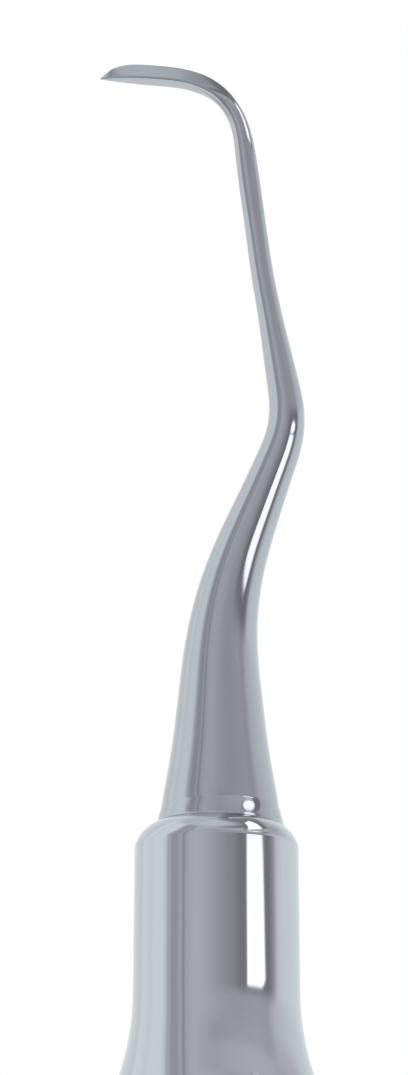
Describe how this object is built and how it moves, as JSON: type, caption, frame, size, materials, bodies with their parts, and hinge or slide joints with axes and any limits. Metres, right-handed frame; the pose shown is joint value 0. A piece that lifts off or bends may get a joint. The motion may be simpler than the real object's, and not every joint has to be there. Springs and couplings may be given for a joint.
{
  "type": "hand scaler",
  "caption": "Double-ended dental hand scaler: hollow knurled handle with tapered nose cones and screw-in hooked steel working ends.",
  "frame": {"origin": "on the handle's axis at its mid-length, which is also the centre of the whole object's box", "axes": "+Z along the handle's axis towards end A, the end shown upright; the hooks bend in the XZ plane, and end A's blade points to -X"},
  "size_m": [0.0094, 0.0094, 0.1774],
  "materials": {
    "polished_steel": "polished",
    "satin_steel": "satin",
    "seal_rubber": "matte"
  },
  "bodies": {
    "handle": {"handle_barrel": "satin_steel", "nose_cone_a": "polished_steel", "nose_cone_b": "polished_steel", "nose_seal_a": "seal_rubber", "nose_seal_b": "seal_rubber"},
    "ring_a": {"tip_seal_a": "seal_rubber"},
    "tip_a": {"working_end_a": "polished_steel"},
    "ring_b": {"tip_seal_b": "seal_rubber"},
    "tip_b": {"working_end_b": "polished_steel"}
  },
  "joints": [
    {"name": "tip_a_travel", "type": "slide", "parent": "handle", "child": "ring_a", "axis": [0, 0, 1], "range_m": [0, 0.0025]},
    {"name": "tip_a_turn", "type": "hinge", "parent": "ring_a", "child": "tip_a", "pos_m": [0, 0, 0.05797], "axis": [0, 0, 1], "range_deg": [0, 1800]},
    {"name": "tip_b_travel", "type": "slide", "parent": "handle", "child": "ring_b", "axis": [0, 0, -1], "range_m": [0, 0.0025]},
    {"name": "tip_b_turn", "type": "hinge", "parent": "ring_b", "child": "tip_b", "pos_m": [0, 0, -0.05797], "axis": [0, 0, -1], "range_deg": [0, 1800]}
  ],
  "couplings": [
    {"joint": "tip_a_turn", "follows": "tip_a_travel", "rad_per_m": 12566},
    {"joint": "tip_b_turn", "follows": "tip_b_travel", "rad_per_m": 12566}
  ]
}
